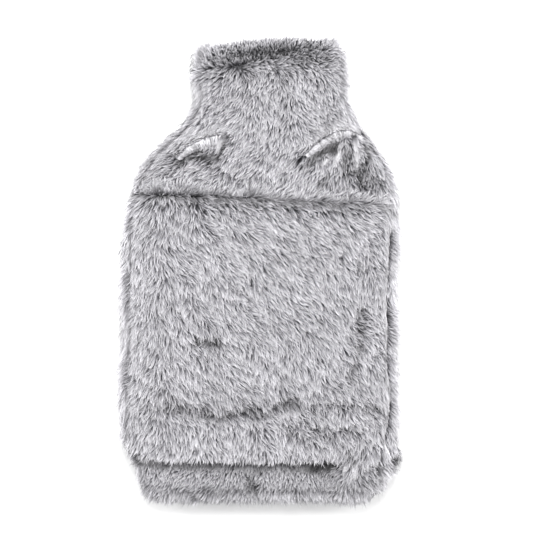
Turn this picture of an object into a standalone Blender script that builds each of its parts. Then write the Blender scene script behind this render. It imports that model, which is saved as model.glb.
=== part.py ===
"""Long-pile fur cover for a hot water bottle, lying on its back with its front up.

+Y runs to the neck, +X to the right of the front and +Z up; the origin is on the surface
under the middle of the cover. The cover is a hollow bag of furred cloth, and each solid
reaches as far as the pile does. It is sewn from four pieces:

  back_panel    the whole back, which comes round the right side onto the front
  neck_yoke     the front of the neck and shoulders
  front_panel   the main front, hemmed along its top and its free lower edge
  bottom_flap   the short panel that tucks up under the front panel's lower edge

Every piece is a slab of one bag shape: a closed profile that is swept along Y, with an
outline, a crown and folds from the tables below.
"""

import math
from collections import namedtuple

import bmesh
import bpy
from mathutils import Vector

MM = 0.001

# The furred cloth, in millimetres like every size and table here.
CLOTH = 9.0  # thickness of cloth and pile
PRESSED = 4.0  # the same cloth with another layer lying on it
GAP = 0.3  # between neighbouring pieces
SEAM_GAP = 1.0  # along the right seam, which winds
LAYER_GAP = 0.8  # under the front panel, where the layers' folds lie on each other
EDGE_ROUND = 5.0  # how far the rounding of an edge reaches
EDGE_SHARE = 0.3  # thickness left at the very edge, as a share

# The bag.
BOTTOM_END = -186.0
SEAM_HEIGHT = 16.0  # height of the side seam above the surface
BELLY = 19.0  # depth of the back below the seam, pressed flat where it meets the surface
END_ROUND = 24.0  # length over which the bottom end closes
END_OPEN = 0.25  # share of the bag's height left at the very end
PROFILE_POWER = 2.8  # a superellipse: 2 is an oval, higher is boxier
STRIP_LENGTH = 20.0  # how far the back comes round the right side onto the front
STRIP_END, STRIP_START = -174.0, -148.0  # the strip's seam drops to the side between these

# The neck's mouth: an arc, highest right of the middle.
MOUTH_TOP, MOUTH_PEAK, MOUTH_BOW = 186.0, 28.0, 0.00129

# The front panel's edges.
TOP_HEM, TOP_HEM_SLOPE = 63.0, -0.045
STITCH_BACK = 8.0  # the hem's stitching, below its folded edge
STITCH_DEPTH, STITCH_WIDTH = 2.8, 3.4
LOW_HEM = -153.0
LOW_HEM_WAVE, LOW_HEM_WAVE_LENGTH = 1.2, 190.0
LEFT_CORNER_START, LEFT_CORNER_RISE, LEFT_CORNER_POWER = -88.0, 9.0, 2.0
LEFT_CORNER_WIDTH = 20.0

# What is tucked away.
TUCK = 20.0  # how far the yoke and the flap run on under the front panel
TUCKED_DEPTH = CLOTH + LAYER_GAP  # of their faces there, below the panel's face
PRESS_START, PRESS_LENGTH = -6.0, 8.0  # where their cloth thins, from the panel's edge
YOKE_EASE = 7.0  # the yoke rises again over this length above the hem
FLAP_EASE = 4.0
FLAP_DROP = 8.5  # the flap lies this far below the front panel's face
BUNCH_LEFT, BUNCH_WIDTH = 56.0, 18.0  # but it bunches up to the face at the right corner
BUNCH_DROP = 0.5

# Outline and height, a row for each section from the bottom end to the neck's mouth.
Section = namedtuple("Section", "along left right crown")
SECTIONS = (
    Section(-186.0, -69.0, 52.0, 45.0),
    Section(-184.0, -79.0, 70.0, 45.0),
    Section(-180.0, -87.5, 84.0, 45.0),
    Section(-174.0, -94.5, 94.0, 45.0),
    Section(-165.0, -98.0, 101.0, 45.0),
    Section(-154.0, -100.5, 108.0, 45.5),
    Section(-147.0, -104.5, 110.5, 46.0),
    Section(-137.0, -109.5, 107.0, 46.5),
    Section(-105.0, -111.0, 107.5, 47.0),
    Section(-60.0, -109.5, 106.5, 48.0),
    Section(-10.0, -109.5, 106.5, 48.0),
    Section(25.0, -108.0, 107.5, 47.0),
    Section(55.0, -104.5, 107.5, 45.5),
    Section(68.0, -101.0, 106.5, 44.5),
    Section(84.0, -93.5, 100.5, 43.5),
    Section(103.0, -76.0, 87.5, 42.5),
    Section(113.0, -65.0, 80.0, 42.0),
    Section(124.0, -57.0, 74.0, 41.5),
    Section(141.0, -51.5, 68.0, 41.0),
    Section(156.0, -54.5, 67.5, 42.0),
    Section(170.0, -53.5, 66.5, 41.5),
    Section(176.0, -49.0, 64.0, 40.5),
    Section(186.0, -40.0, 58.0, 38.0),
)

# Ridges and troughs of the front, a row each: where the fold starts and ends, how far its
# middle bows to the left of that way, its half width and its height.
Fold = namedtuple("Fold", "from_x from_y to_x to_y bow half_width height")
FOLDS = (
    Fold(-64.0, 84.0, -26.0, 107.0, 4.0, 6.5, 6.0),  # left shoulder, crest
    Fold(-54.0, 83.0, -29.0, 92.0, 2.0, 7.0, -5.0),  # left shoulder, hollow under it
    Fold(33.0, 88.0, 72.0, 113.0, 3.5, 6.5, 7.0),  # right shoulder, crest
    Fold(74.0, 111.0, 87.0, 95.0, 3.0, 6.5, 4.0),  # the crest's turn down the side
    Fold(42.0, 81.0, 72.0, 98.0, 2.0, 7.0, -5.5),  # right shoulder, hollow under it
    Fold(72.0, 88.0, 80.0, 76.0, 0.0, 9.0, -4.5),  # right shoulder, pit
    Fold(63.0, 99.0, 58.0, 78.0, 0.0, 5.0, 3.0),  # pleat beside the pit
    Fold(-52.0, 122.0, 0.0, 112.0, -6.0, 12.0, -2.0),  # slack where the neck widens
    Fold(-26.0, 164.0, 48.0, 174.0, -3.0, 6.5, -3.0),  # parting along the neck's mouth
    Fold(-36.0, 176.0, 48.0, 182.0, 4.0, 5.0, 1.5),  # roll of the mouth's edge
    Fold(-47.0, -52.0, -36.0, -56.0, 0.0, 8.0, -4.0),  # dimple
    Fold(-78.0, -102.0, 26.0, -103.0, -9.0, 8.0, -3.5),  # long crescent, low on the front
    Fold(24.0, -104.0, 72.0, -14.0, -7.0, 9.0, -3.0),  # its rise to the right
    Fold(25.0, 40.0, 27.0, 12.0, 1.0, 7.0, -2.0),  # upright crease below the hem
    Fold(72.0, 30.0, 78.0, 14.0, 0.0, 8.0, -3.0),  # dimple near the seam
    Fold(90.0, 46.0, 90.0, -130.0, -1.0, 7.0, 2.5),  # roll beside the right seam
    Fold(-8.0, -168.0, -2.0, -172.0, 0.0, 6.0, -3.5),  # dimple in the flap
    Fold(72.0, -164.0, 92.0, -158.0, 2.0, 9.0, 4.0),  # bunched lower right corner
    Fold(64.0, -146.0, 78.0, -141.0, 2.0, 6.0, -3.0),  # cleft above it
)
CALM_WIDTH = 14.0  # folds fade out over this width towards the right seam
FOLD_STEPS = 12  # straight pieces that a fold's arc is measured by

# Slow unevenness of the stuffed-looking front: wavelengths and lean of a few ripples.
Ripple = namedtuple("Ripple", "length lean phase height")
RIPPLES = (
    Ripple(61.0, 0.45, 0.4, 0.7),
    Ripple(37.0, -0.8, 1.9, 0.5),
    Ripple(23.0, 1.6, 4.2, 0.35),
)

Grid = namedtuple("Grid", "across along")
BACK_GRID = Grid(20, 46)
YOKE_GRID = Grid(34, 28)
FRONT_GRID = Grid(28, 34)
FLAP_GRID = Grid(26, 12)
CROWDED, CROWDED_POWER = 0.8, 7  # how much closer the rows lie at a piece's edges
ROW_TURNS, COLUMN_TURNS = 8, 4  # of settling a row and a column, which depend on each other

FUR_COLOUR = (0.50, 0.495, 0.52, 1.0)
FUR_ROUGHNESS = 0.85


def clamp(value):
    return min(1.0, max(0.0, value))


def between(low, high, share):
    return low + (high - low) * share


def ease(value):
    """0 to 1 with flat ends."""
    value = clamp(value)
    return value * value * (3.0 - 2.0 * value)


def dome(value):
    """A quarter circle: rises steeply from 0 and levels off at 1."""
    return math.sqrt(1.0 - (1.0 - clamp(value)) ** 2)


def crowded(value):
    """0 to 1, with even steps drawn closer together next to both ends."""
    away = 2.0 * value - 1.0
    drawn = away - CROWDED * away**CROWDED_POWER / CROWDED_POWER
    return 0.5 + 0.5 * drawn / (1.0 - CROWDED / CROWDED_POWER)


def blunt(distance):
    """Share of the cloth's thickness at this distance from an edge."""
    return EDGE_SHARE + (1.0 - EDGE_SHARE) * dome(distance / EDGE_ROUND)


def section_value(along, column):
    """A column of SECTIONS at any place along the bag, on a smooth curve through its rows."""
    places = [row.along for row in SECTIONS]
    values = [getattr(row, column) for row in SECTIONS]
    along = min(places[-1], max(places[0], along))
    last = len(places) - 1
    i = next(k for k in range(last) if along <= places[k + 1])

    def slope(k):
        before, after = max(k - 1, 0), min(k + 1, last)
        return (values[after] - values[before]) / (places[after] - places[before])

    span = places[i + 1] - places[i]
    t = (along - places[i]) / span
    rise = values[i + 1] - values[i]
    start, end = slope(i) * span, slope(i + 1) * span
    return (
        values[i]
        + start * t
        + (3.0 * rise - 2.0 * start - end) * t**2
        + (start + end - 2.0 * rise) * t**3
    )


def even_profile(samples=720, wide=108.0, high=31.0):
    """Places on the unit profile's upper half, evenly spaced on a bag of these sizes."""
    fine = []
    for k in range(samples + 1):
        angle = math.pi * (1.0 - k / samples)
        side, up = math.cos(angle), math.sin(angle)
        power = 2.0 / PROFILE_POWER
        fine.append((math.copysign(abs(side) ** power, side), abs(up) ** power))
    run = [0.0]
    for (x0, z0), (x1, z1) in zip(fine, fine[1:]):
        run.append(run[-1] + math.hypot(wide * (x1 - x0), high * (z1 - z0)))
    return [length / run[-1] for length in run], fine


PROFILE_SHARES, PROFILE_POINTS = even_profile()
PROFILE_LENGTH = 250.0  # of the upper half at the body, for turning shares into lengths
SEAM_SHARE = SEAM_GAP / 2.0 / PROFILE_LENGTH
CALM_SHARE = CALM_WIDTH / PROFILE_LENGTH


def profile(share):
    """(across, up) from -1 to 1 on the closed profile: share 0 is the left seam, 1 the right
    side, reached over the top, and 2 the left seam again, reached underneath."""
    upper = share if share <= 1.0 else 2.0 - share
    low, high = 0, len(PROFILE_SHARES) - 1
    while high - low > 1:
        middle = (low + high) // 2
        if PROFILE_SHARES[middle] <= upper:
            low = middle
        else:
            high = middle
    span = PROFILE_SHARES[high] - PROFILE_SHARES[low]
    t = (upper - PROFILE_SHARES[low]) / span
    across = PROFILE_POINTS[low][0] * (1.0 - t) + PROFILE_POINTS[high][0] * t
    up = PROFILE_POINTS[low][1] * (1.0 - t) + PROFILE_POINTS[high][1] * t
    return across, up if share <= 1.0 else -up


def right_seam(along):
    """Share of the profile where the back's strip meets the front pieces."""
    strip = STRIP_LENGTH / PROFILE_LENGTH
    return 1.0 - strip * ease((along - STRIP_END) / (STRIP_START - STRIP_END))


def mouth(x):
    """Where the neck ends."""
    return MOUTH_TOP - MOUTH_BOW * (x - MOUTH_PEAK) ** 2


def top_hem(x):
    """The front panel's folded top edge."""
    return TOP_HEM + TOP_HEM_SLOPE * x


def low_hem(x):
    """The front panel's lower edge, rounded up at its left corner."""
    corner = clamp((LEFT_CORNER_START - x) / LEFT_CORNER_WIDTH) ** LEFT_CORNER_POWER
    wave = LOW_HEM_WAVE * math.cos(2.0 * math.pi * x / LOW_HEM_WAVE_LENGTH)
    return LOW_HEM - wave + LEFT_CORNER_RISE * corner


LOW_HEM_LINE = [(x, low_hem(x)) for x in range(-116, 118, 2)]


def distance_to(line, x, y):
    """The nearest distance from a point to a line through these points."""
    best = math.inf
    for (x0, y0), (x1, y1) in zip(line, line[1:]):
        dx, dy = x1 - x0, y1 - y0
        t = clamp(((x - x0) * dx + (y - y0) * dy) / (dx * dx + dy * dy))
        best = min(best, math.hypot(x - x0 - t * dx, y - y0 - t * dy))
    return best


def inside_top_hem(x, y):
    """How far a place lies inside the front panel from its top edge; negative above it."""
    return top_hem(x) - y


def inside_low_hem(x, y):
    """How far a place lies inside the front panel from its lower edge; negative outside."""
    return math.copysign(distance_to(LOW_HEM_LINE, x, y), y - low_hem(x))


def fold_arc(fold):
    """Points along a fold's crest."""
    dx, dy = fold.to_x - fold.from_x, fold.to_y - fold.from_y
    length = math.hypot(dx, dy)
    points = []
    for k in range(FOLD_STEPS + 1):
        t = k / FOLD_STEPS
        out = 4.0 * t * (1.0 - t) * fold.bow / length
        points.append((fold.from_x + t * dx - out * dy, fold.from_y + t * dy + out * dx))
    return points


FOLD_ARCS = [fold_arc(fold) for fold in FOLDS]


def lift(x, y):
    """How far folds and ripples raise the front at this place."""
    height = 0.0
    for fold, arc in zip(FOLDS, FOLD_ARCS):
        across = distance_to(arc, x, y) / fold.half_width
        height += fold.height * math.exp(-across * across)
    for ripple in RIPPLES:
        turn = 2.0 * math.pi * (x + ripple.lean * y) / ripple.length + ripple.phase
        height += ripple.height * math.sin(turn)
    return height


def end_share(along, inset):
    """How far the bag has opened at this distance from its bottom end."""
    return between(END_OPEN, 1.0, dome((along - BOTTOM_END - inset) / (END_ROUND - inset)))


def calm(share, along):
    """Folds and ripples fade out towards the right seam, and the back has none."""
    return ease((right_seam(along) - share) / CALM_SHARE)


def bag_x(share, along, inset):
    """How far across the bag a place on the profile is."""
    left, right = section_value(along, "left"), section_value(along, "right")
    return (left + right) / 2.0 + ((right - left) / 2.0 - inset) * profile(share)[0]


def bag_point(share, along, depth, seam_side):
    """A point on the profile at this place and depth inside the bag's face. seam_side is 1
    for the front pieces and -1 for the back."""
    inset, drop = depth
    up = profile(share)[1]
    x = bag_x(share, along, inset)
    opened = end_share(along, inset)
    seam = SEAM_HEIGHT + seam_side * GAP / 2.0
    if up < 0.0:
        return Vector((x, along, max(inset, seam + (BELLY - drop) * opened * up)))
    crown = section_value(along, "crown") - SEAM_HEIGHT
    high = (crown - drop) * opened * up
    raised = lift(x, along) * up * opened * calm(share, along)
    return Vector((x, along, seam + high + raised))


def settle(share, place_of, row):
    """The place along the bag of a row whose height depends on where the column is."""
    along = place_of(0.0, row)
    for _ in range(ROW_TURNS):
        along = place_of(bag_x(share, along, 0.0), row)
    return along


def seam_blunt(share, along, first, last):
    """The rounding of a piece beside its two side seams, gone where the bag closes."""
    from_edge = min(abs(share - first), abs(last - share)) * PROFILE_LENGTH
    return 1.0 - (1.0 - blunt(from_edge)) * end_share(along, 0.0)


# How far a face of the cloth lies inside the bag's face: at its sides and at its crown.
Depth = namedtuple("Depth", "inset drop")


def front_depths(share, x, y):
    """Depths of the front panel's outer and inner face."""
    edge = blunt(min(inside_top_hem(x, y), inside_low_hem(x, y)))
    seams = seam_blunt(share, y, 0.0, right_seam(y))
    stitch_from = (inside_top_hem(x, y) - STITCH_BACK) / STITCH_WIDTH
    stitch = STITCH_DEPTH * math.exp(-stitch_from * stitch_from)
    outer = CLOTH / 2.0 * (1.0 - edge * seams) + stitch
    inner = CLOTH / 2.0 * (1.0 + edge)
    return Depth(outer, outer), Depth(inner, inner)


def tucked(inside, easing):
    """Depth of a face that runs under the front panel, and eases up outside its edge."""
    return TUCKED_DEPTH * math.exp(min(0.0, inside) / easing)


def pressed_cloth(inside):
    """Thickness of the cloth, which is pressed where the front panel lies on it."""
    return between(CLOTH, PRESSED, ease((inside - PRESS_START) / PRESS_LENGTH))


def yoke_depths(share, x, y):
    inside = inside_top_hem(x, y)
    near_hem = tucked(inside, YOKE_EASE)
    lip = blunt(mouth(x) - y)
    seams = seam_blunt(share, y, 0.0, right_seam(y)) if inside < 0.0 else 1.0
    outer = max(near_hem, CLOTH / 2.0 * (1.0 - lip * seams))
    inner = outer + pressed_cloth(inside)
    if mouth(x) - y < EDGE_ROUND:
        inner = CLOTH / 2.0 * (1.0 + lip)
    return Depth(outer, outer), Depth(inner, inner)


def flap_depths(share, x, y):
    inside = inside_low_hem(x, y)
    inset = tucked(inside, FLAP_EASE)
    bunched = ease((x - BUNCH_LEFT) / BUNCH_WIDTH)
    drop = max(between(FLAP_DROP, BUNCH_DROP, bunched), inset)
    seams = seam_blunt(share, y, 0.0, right_seam(y))
    inset = max(inset, CLOTH / 2.0 * (1.0 - seams))
    cloth = pressed_cloth(inside)
    return Depth(inset, drop), Depth(max(inset + cloth, CLOTH), drop + cloth)


def back_depths(share, x, y):
    lip = blunt(mouth(x) - y)
    seams = seam_blunt(share, y, right_seam(y), 2.0)
    outer = CLOTH / 2.0 * (1.0 - lip * seams)
    inner = CLOTH / 2.0 * (1.0 + lip)
    return Depth(outer, outer), Depth(inner, inner)


def furred_cloth(name, grid, shares, place_of, depths, seam_side, closed_end, collection):
    """A slab of the bag: a flat grid is thickened, then its two faces are laid out along the
    bag. shares gives the profile's shares at a place along, place_of the place of a row."""
    mesh_builder = bmesh.new()
    bmesh.ops.create_grid(
        mesh_builder, x_segments=grid.across, y_segments=grid.along, size=0.5
    )
    inner_corners = list(mesh_builder.verts)
    extruded = bmesh.ops.extrude_face_region(mesh_builder, geom=mesh_builder.faces[:])
    outer_corners = [item for item in extruded["geom"] if isinstance(item, bmesh.types.BMVert)]
    for corners, is_outer in ((outer_corners, True), (inner_corners, False)):
        for corner in corners:
            column, row = crowded(corner.co.x + 0.5), crowded(corner.co.y + 0.5)
            share, along = 0.0, place_of(0.0, row)
            for _ in range(COLUMN_TURNS):
                first, last = shares(along)
                share = first + (last - first) * column
                along = settle(share, place_of, row)
            x = bag_x(share, along, 0.0)
            depth = depths(share, x, along)[0 if is_outer else 1]
            if closed_end and not is_outer:
                along += depth.inset * (1.0 - row)
            corner.co = bag_point(share, along, depth, seam_side) * MM
    mesh = bpy.data.meshes.new(name)
    mesh_builder.to_mesh(mesh)
    mesh_builder.free()
    mesh.shade_smooth()
    mesh.materials.append(fur_material(name))
    piece = bpy.data.objects.new(name, mesh)
    collection.objects.link(piece)
    return piece


def fur_material(name):
    material = bpy.data.materials.new(name + "_fur")
    material.use_nodes = True
    shader = material.node_tree.nodes["Principled BSDF"]
    shader.inputs["Base Color"].default_value = FUR_COLOUR
    shader.inputs["Roughness"].default_value = FUR_ROUGHNESS
    shader.inputs["Metallic"].default_value = 0.0
    return material


def front_shares(along):
    return 0.0, right_seam(along) - SEAM_SHARE


def back_shares(along):
    return right_seam(along) + SEAM_SHARE, 2.0


def clear_scene():
    for scene_object in list(bpy.data.objects):
        bpy.data.objects.remove(scene_object)


def build_cover():
    clear_scene()
    collection = bpy.data.collections.new("hot_water_bottle_cover")
    bpy.context.scene.collection.children.link(collection)
    furred_cloth(
        "back_panel",
        BACK_GRID,
        back_shares,
        lambda x, row: between(BOTTOM_END, mouth(x), row),
        back_depths,
        -1,
        True,
        collection,
    )
    furred_cloth(
        "neck_yoke",
        YOKE_GRID,
        front_shares,
        lambda x, row: between(top_hem(x) - TUCK, mouth(x), row),
        yoke_depths,
        1,
        False,
        collection,
    )
    furred_cloth(
        "front_panel",
        FRONT_GRID,
        front_shares,
        lambda x, row: between(low_hem(x), top_hem(x), row),
        front_depths,
        1,
        False,
        collection,
    )
    furred_cloth(
        "bottom_flap",
        FLAP_GRID,
        front_shares,
        lambda x, row: between(BOTTOM_END, low_hem(x) + TUCK, row),
        flap_depths,
        1,
        True,
        collection,
    )


build_cover()
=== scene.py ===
"""Looks of the long-pile fur cover: a thin knitted cloth inside each solid of the frame, and
the pile that grows from it, lock by lock.

Places and sizes are in millimetres until a mesh is made. +Y runs to the neck, +X to the
right of the front and +Z up. The cloth lies on nearly the same bag as its solid: a closed
profile swept along Y, with the outline, crown and folds of the tables below.
"""

import math
from collections import namedtuple

import bpy
import numpy as np
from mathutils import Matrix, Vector


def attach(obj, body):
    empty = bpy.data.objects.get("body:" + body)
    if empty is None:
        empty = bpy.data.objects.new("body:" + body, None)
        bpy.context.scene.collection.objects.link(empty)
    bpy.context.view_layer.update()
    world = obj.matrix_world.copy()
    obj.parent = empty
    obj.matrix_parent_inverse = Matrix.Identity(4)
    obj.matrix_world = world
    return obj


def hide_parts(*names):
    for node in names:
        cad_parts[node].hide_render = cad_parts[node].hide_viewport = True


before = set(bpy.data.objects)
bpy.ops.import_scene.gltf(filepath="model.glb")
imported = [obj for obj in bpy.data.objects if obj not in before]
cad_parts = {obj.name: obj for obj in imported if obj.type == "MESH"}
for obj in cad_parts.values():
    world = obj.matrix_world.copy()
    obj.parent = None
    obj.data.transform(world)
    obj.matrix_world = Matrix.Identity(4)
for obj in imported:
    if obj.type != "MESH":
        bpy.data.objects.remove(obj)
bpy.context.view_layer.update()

MM = 0.001
FUR_MAP = "OFBake"  # the strands' UV map: tone across and root to tip along

# The bag. Its bottom end is rounder than the solids' and its right strip is narrower.
BOTTOM_END = -186
SEAM_HEIGHT = 16  # of the side seams over the table
BELLY = 19  # from there down, before the table flattens it
END_ROUND, END_OPEN = 30, 0.1  # where its height is full, and its share at the bottom end
PROFILE_POWER = 2.8
PROFILE_LENGTH = 250
STRIP_LENGTH = 12  # of the back's cloth on the front's right
STRIP_LOW, STRIP_HIGH = (-174, -148), (80, 55)  # it widens between these, at its ends
SEAM_WAVE, SEAM_WAVES = 0.7, (7.3, 11.7)
MOUTH_TOP, MOUTH_PEAK, MOUTH_BOW = 186, 28, 0.00129
TOP_HEM, TOP_HEM_SLOPE = 63, -0.045
LOW_HEM, LOW_HEM_WAVE, LOW_HEM_WAVE_LENGTH = -153, 1.2, 190
LEFT_CORNER_START, LEFT_CORNER_RISE, LEFT_CORNER_WIDTH = -88, 11, 18
YOKE_TUCK, FLAP_TUCK, TUCKED_DEPTH = 16, 17, 9.8  # how far they go under the front, and how deep
YOKE_EASE, FLAP_EASE = 7, 4
FLAP_DROP = 8.5
BUNCHED, BUNCH_DROP = (56, 74), 0.5  # where the flap's right corner starts, and its drop


def rows_of(columns, *rows):
    """A table, with its rows as named tuples of these columns."""
    row_type = namedtuple("Row", columns)
    return [row_type(*row) for row in rows]


SECTIONS = rows_of(
    "along left right crown",
    (-186, -69, 52, 45),
    (-184, -79, 70, 45),
    (-180, -87.5, 84, 45),
    (-174, -94.5, 94, 45),
    (-165, -98, 101, 45),
    (-154, -100.5, 108, 45.5),
    (-147, -104.5, 110.5, 46),
    (-137, -109.5, 107, 46.5),
    (-105, -111, 107.5, 47),
    (-60, -109.5, 106.5, 48),
    (-10, -109.5, 106.5, 48),
    (25, -108, 107.5, 47),
    (55, -104.5, 107.5, 45.5),
    (68, -101, 106.5, 44.5),
    (84, -93.5, 100.5, 43.5),
    (103, -76, 87.5, 42.5),
    (113, -65, 80, 42),
    (124, -57, 74, 41.5),
    (141, -51.5, 68, 41),
    (156, -54.5, 67.5, 42),
    (170, -53.5, 66.5, 41.5),
    (176, -49, 64, 40.5),
    (186, -40, 58, 38),
)

# Ridges and troughs: where the fold starts and ends, how far its middle bows to the left
# of that way, its half width and its height.
FOLDS = rows_of(
    "from_x from_y to_x to_y bow half_width height",
    (-52, 122, 0, 112, -6, 12, -2),  # slack where the neck widens
    (-26, 164, 48, 174, -3, 6.5, -3),  # parting along the neck's mouth
    (-36, 176, 48, 182, 4, 5, 1.5),  # roll of the mouth's edge
    (-47, -51, -36, -53, 0, 7, -5.5),  # dimple
    (-78, -102, 26, -103, -9, 8, -4.5),  # long crescent, low on the front
    (24, -104, 72, -14, -7, 9, -3.5),  # its rise to the right
    (25, 40, 27, 12, 1, 7, -2),  # upright crease below the hem
    (72, 30, 78, 14, 0, 8, -3),  # dimple near the seam
    (90, 46, 90, -130, -1, 7, 2.5),  # roll beside the right seam
    (-8, -168, -2, -172, 0, 6, -3.5),  # dimple in the flap
    (72, -164, 92, -158, 2, 9, 4),  # bunched lower right corner
    (64, -146, 78, -141, 2, 6, -3),  # cleft above it
)
# Crisp creases: the same, with a width for each side of the crest (left and right of the way)
# and a height at each end.
CREASES = rows_of(
    "from_x from_y to_x to_y bow left right low high",
    (-61, 89, -31, 89.5, 4, 2.4, 2.4, -2, -6),  # under the left roll
    (-26, 106.5, -24, 106, 0, 2.5, 2.5, -4, -4),
    (38.5, 86.5, 57, 97, 1.5, 2.8, 2.8, -4, -6),  # under the right roll
    (66.5, 102, 64.5, 84, 1, 2, 2, -4, -4),  # between its tresses
    (54.8, 81, 48.5, 70.5, 1, 1.8, 1.8, -3, -3),
    (72, 86, 84, 76, 0, 7, 7, -4.5, -4.5),  # pit
)
# Rolls: creases that the pile lies across, from the left foot over the crest to the right one.
# slip_from and slip_to say how far it leans along the roll, and guard how closely the pile on
# the roll's left is kept off it.
ROLLS = rows_of(
    "from_x from_y to_x to_y bow left right low high slip_from slip_to guard",
    (-65, 89.5, -27, 107, 4.5, 6, 11, 3, 10, 4, -5, 0.3),
    (35.5, 91.5, 58.5, 108.5, 1, 6.5, 5.8, 5, 9, 1.5, 3, 0.48),
    (58.5, 108.5, 79, 107.5, 2.5, 6.5, 6.5, 9, 7.5, -1, 3, 0.3),
)
GUARD_REACH = 13
# Tresses: locks laid over a panel's pile, from root to tip.
TRESS_COLUMNS = "from_x from_y to_x to_y bow half_width rise"
TRESSES = {
    "neck_yoke": rows_of(
        TRESS_COLUMNS,
        (66, 108, 55, 78, 2, 4, 7),  # below the right roll
        (74, 108, 76, 78, 1.5, 3.2, 7.5),
        (81, 106, 92, 84, 1.5, 3.2, 6.5),
        (58, 100, 47, 79, 1, 3.2, 6),
        (-28, 107, -32.5, 90.5, -1.5, 2.2, 8.5),  # the left roll's end
    ),
    "bottom_flap": rows_of(
        TRESS_COLUMNS,
        (75, -138, 66, -162, -2, 4.5, 7.2),  # bunched corner
        (77, -142, 74, -170, -1, 4.5, 7.2),
        (79, -141, 86, -168, 1, 4.5, 7.2),
        (81, -139, 98, -158, 2, 4.5, 7.2),
        (88, -138, 104, -150, 2, 3.5, 7.5),
        (74, -156, 67, -178, -1, 4, 7),
        (84, -158, 90, -176, 1, 4, 7),
    ),
}
CALM_WIDTH = 14
RIPPLES = rows_of(
    "length lean phase height",
    (61, 0.45, 0.4, 0.7),
    (37, -0.8, 1.9, 0.5),
    (23, 1.6, 4.2, 0.35),
)
ARC_STEPS = 12  # straight pieces in an arc

# How the pile on the front is combed: guides for each panel, each with the way the pile runs
# near it, in degrees from straight down to the right.
GUIDES = {
    "neck_yoke": (
        (-52, 165, -62), (-32, 166, -70), (-6, 170, 88), (18, 172, 84), (40, 172, 72),
        (-46, 146, -42), (-18, 146, -34), (8, 146, -12), (32, 146, 24), (60, 150, 42),
        (-46, 118, -44), (-14, 120, -38), (14, 122, -2), (36, 122, 30), (62, 124, 55),
        (-66, 104, -52), (-88, 78, -50), (-38, 92, -44), (-14, 95, -34), (14, 98, -20),
        (-60, 72, -46), (-14, 72, -36), (24, 78, -30), (50, 76, -22), (66, 84, 5),
        (84, 84, 30), (88, 104, 40), (102, 72, 25),
    ),
    "front_panel": (
        (-106, 45, -32), (-106, -10, -30), (-106, -70, -28), (-106, -135, -26),
        (-88, 48, -30), (-88, 0, -18), (-88, -55, -18), (-88, -115, -22),
        (-64, 48, 8), (-64, 14, 36), (-64, -28, 18), (-64, -62, 14), (-60, -105, 32),
        (-34, 46, 48), (-14, 8, 40), (-14, -40, 38), (-14, -85, 28), (-40, -128, 20),
        (4, 46, 50), (24, 8, 40), (24, -36, 36), (24, -72, 24), (14, -124, 22),
        (-64, -146, -12), (-20, -146, 0), (14, -146, 4), (46, -146, 6), (74, -146, -12),
        (52, 46, 48), (56, 10, 28), (56, -50, 34), (50, -120, 32),
        (80, 46, 60), (80, 12, 16), (80, -50, 34), (80, -112, 32),
        (102, 46, 30), (100, -20, 20), (100, -120, 20),
    ),
    "bottom_flap": (
        (-95, -165, -25), (-40, -165, -30), (0, -165, -8), (40, -165, 14),
        (66, -160, -14), (80, -165, 20), (95, -158, 48),
    ),
}
GUIDE_REACH, GUIDE_NEAR = 17, 0.05
# Places that the pile below them fans out from, with some strength, or gathers to from all
# round where it is negative.
FANS = rows_of(
    "x y radius strength",
    (67, 108, 20, 2.2),  # below the right shoulder's crest
    (78, -146, 16, 2.6),  # tuft on the bunched corner
    (88, -170, 9, 1.5),
    (-42, -50, 9, -1.6),  # whorl at the dimple
)
# Lines that the pile of a panel parts along: above the line it points up, leaning across by
# lean_from to lean_to, and has this share of its length.
PARTINGS = rows_of(
    "node from_x from_y to_x to_y bow lean_from lean_to length sleek",
    ("front_panel", -106, 60.6, 106, 50.8, 0, -0.8, 1.8, 0.78, 0.6),
    ("neck_yoke", -40, 160, 60, 176, -2, -0.9, 0.9, 0.8, 0),
)
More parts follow.
